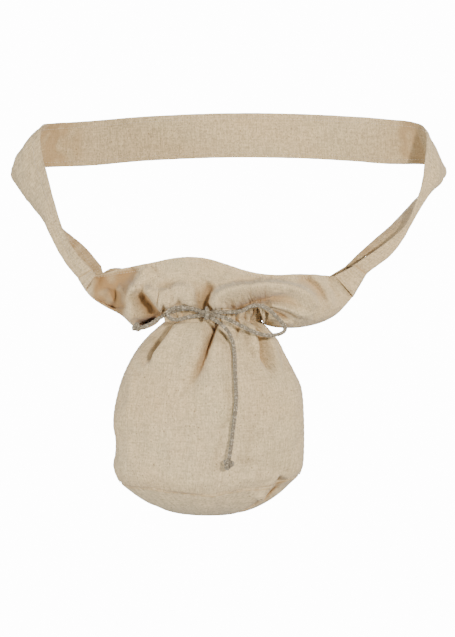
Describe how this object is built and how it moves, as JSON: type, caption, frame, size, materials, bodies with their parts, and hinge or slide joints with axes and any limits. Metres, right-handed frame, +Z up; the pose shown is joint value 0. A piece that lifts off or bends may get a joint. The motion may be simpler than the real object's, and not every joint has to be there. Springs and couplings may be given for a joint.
{
  "type": "drawstring treat pouch with sling strap",
  "caption": "Soft fabric drawstring pouch for treats, with a gathered neck, tied bow cord and a wide fabric sling strap.",
  "frame": {"origin": "centre of the flat patch under the pouch's base", "axes": "+Z up through the neck, front with the bow towards -Y, the strap's back band towards +Y, +X to the right seen from the front"},
  "size_m": [0.4852, 0.2158, 0.456],
  "materials": {
    "canvas": "plain woven natural cotton and linen, unbleached, matt, with fine darker slubs and specks",
    "strap_canvas": "the same natural cotton and linen folded double, matt, with the weave running along the strap",
    "thread": "ecru sewing thread in a straight lock stitch",
    "cord": "round braided cotton cord, taupe, matt"
  },
  "bodies": {
    "strap": {"strap": "strap_canvas", "strap_stitching": "thread"},
    "pouch": {"left_tab": "strap_canvas", "right_tab": "strap_canvas", "left_tab_stitching": "thread", "right_tab_stitching": "thread", "front_panel": "canvas", "rear_panel": "canvas", "left_side_seam": "canvas", "right_side_seam": "canvas", "base_panel": "canvas", "base_seam": "canvas"},
    "neck_front": {"front_mouth_panel": "canvas", "front_hem_stitching": "thread", "front_casing": "canvas", "front_casing_stitching": "thread", "left_drawstring_run": "cord", "right_drawstring_run": "cord"},
    "neck_rear": {"rear_mouth_panel": "canvas", "rear_hem_stitching": "thread", "rear_casing": "canvas", "rear_casing_stitching": "thread", "rear_drawstring_run": "cord"},
    "bow": {"bow_knot": "cord"},
    "left_loop": {"left_loop": "cord"},
    "right_loop": {"right_loop": "cord"},
    "front_tail": {"front_tail": "cord", "front_tail_knot": "cord"},
    "side_tail": {"side_tail": "cord", "side_tail_knot": "cord"}
  },
  "joints": [
    {"name": "pouch_swing", "type": "hinge", "parent": "strap", "child": "pouch", "pos_m": [0.018, 0.008, 0.266], "axis": [1, 0, 0], "range_deg": [-20, 20]},
    {"name": "mouth_open", "type": "slide", "parent": "pouch", "child": "neck_front", "axis": [0, -1, 0], "range_m": [0, 0.025]},
    {"name": "mouth_open_rear", "type": "slide", "parent": "pouch", "child": "neck_rear", "axis": [0, 1, 0], "range_m": [0, 0.025]},
    {"name": "bow_draw", "type": "slide", "parent": "neck_front", "child": "bow", "axis": [0, -1, 0], "range_m": [0, 0.02]},
    {"name": "left_loop_lift", "type": "hinge", "parent": "bow", "child": "left_loop", "pos_m": [-0.002, -0.0385, 0.221], "axis": [0, 0, 1], "range_deg": [0, 40]},
    {"name": "right_loop_lift", "type": "hinge", "parent": "bow", "child": "right_loop", "pos_m": [-0.002, -0.0385, 0.221], "axis": [0, 0, -1], "range_deg": [0, 40]},
    {"name": "front_tail_lift", "type": "hinge", "parent": "bow", "child": "front_tail", "pos_m": [-0.002, -0.0385, 0.221], "axis": [-1, 0, 0], "range_deg": [0, 28]},
    {"name": "side_tail_swing", "type": "hinge", "parent": "bow", "child": "side_tail", "pos_m": [-0.002, -0.0385, 0.221], "axis": [0, 1, 0], "range_deg": [-6, 12]}
  ],
  "couplings": [
    {"joint": "mouth_open_rear", "follows": "mouth_open", "ratio": 1}
  ]
}
